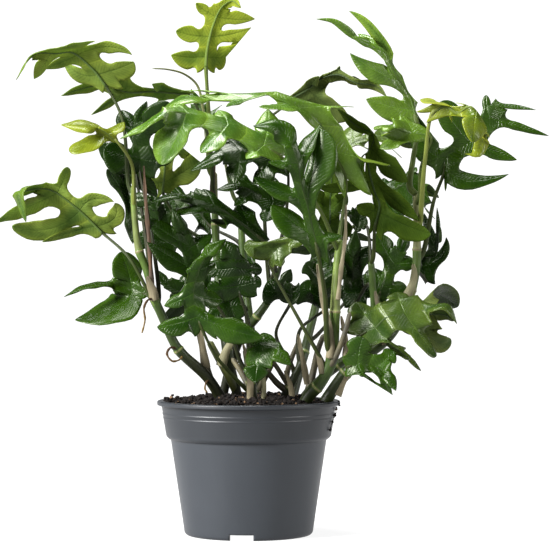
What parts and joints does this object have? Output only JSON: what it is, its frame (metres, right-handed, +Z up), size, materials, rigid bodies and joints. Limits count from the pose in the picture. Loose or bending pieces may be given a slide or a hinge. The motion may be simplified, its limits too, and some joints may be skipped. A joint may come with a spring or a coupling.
{
  "type": "potted mini monstera plant",
  "caption": "Bushy aroid house plant with deeply split and holed leaves on jointed green stems, planted in compost in a tapered grey nursery pot.",
  "frame": {"origin": "middle of the pot's underside, on the pot's axis", "axes": "+Z up along the pot's axis, -Y towards the front of the plant as pictured, +X to its right"},
  "size_m": [0.5133, 0.3124, 0.5018],
  "materials": {
    "leaf": "waxy green leaf, glossy above and matt below",
    "young_leaf": "thin yellow-green young leaf, satin",
    "stem": "smooth green bark, satin",
    "sheath": "dry papery tan leaf sheath, matt",
    "root": "brown aerial root, matt",
    "pot": "grey injection-moulded plastic, satin",
    "compost": "dark crumbly peat compost, matt"
  },
  "bodies": {
    "root": {"compost": "compost", "leaf_a1": "young_leaf", "leaf_a2": "leaf", "leaf_a3": "leaf", "leaf_a4": "leaf", "leaf_a5": "leaf", "leaf_a6": "leaf", "leaf_b1": "leaf", "leaf_b3": "leaf", "leaf_b4": "leaf", "leaf_c1": "leaf", "leaf_c2": "leaf", "leaf_c3": "leaf", "leaf_c4": "leaf", "leaf_c5": "leaf", "leaf_d1": "leaf", "leaf_d2": "leaf", "leaf_d3": "leaf", "leaf_d4": "leaf", "leaf_e1": "leaf", "leaf_e2": "leaf", "leaf_e3": "leaf", "leaf_e4": "leaf", "leaf_f1": "leaf", "leaf_f2": "leaf", "leaf_f3": "leaf", "leaf_f4": "leaf", "leaf_f5": "leaf", "leaf_g1": "leaf", "leaf_g2": "young_leaf", "leaf_g3": "leaf", "leaf_g4": "leaf", "leaf_g5": "leaf", "leaf_g6": "leaf", "leaf_g7": "leaf", "leaf_g8": "leaf", "leaf_h1": "leaf", "leaf_h2": "leaf", "leaf_h3": "leaf", "leaf_h4": "leaf", "leaf_h5": "leaf", "leaf_h6": "leaf", "leaf_i1": "leaf", "leaf_i2": "leaf", "leaf_i3": "leaf", "leaf_i4": "leaf", "leaf_i5": "leaf", "leaf_j1": "leaf", "leaf_j2": "leaf", "pot": "pot", "stem_a": "stem", "stem_b": "stem", "stem_c": "stem", "stem_d": "stem", "stem_e": "stem", "stem_f": "stem", "stem_g": "stem", "stem_h": "stem", "stem_i": "stem", "stem_j": "stem"}
  },
  "joints": []
}
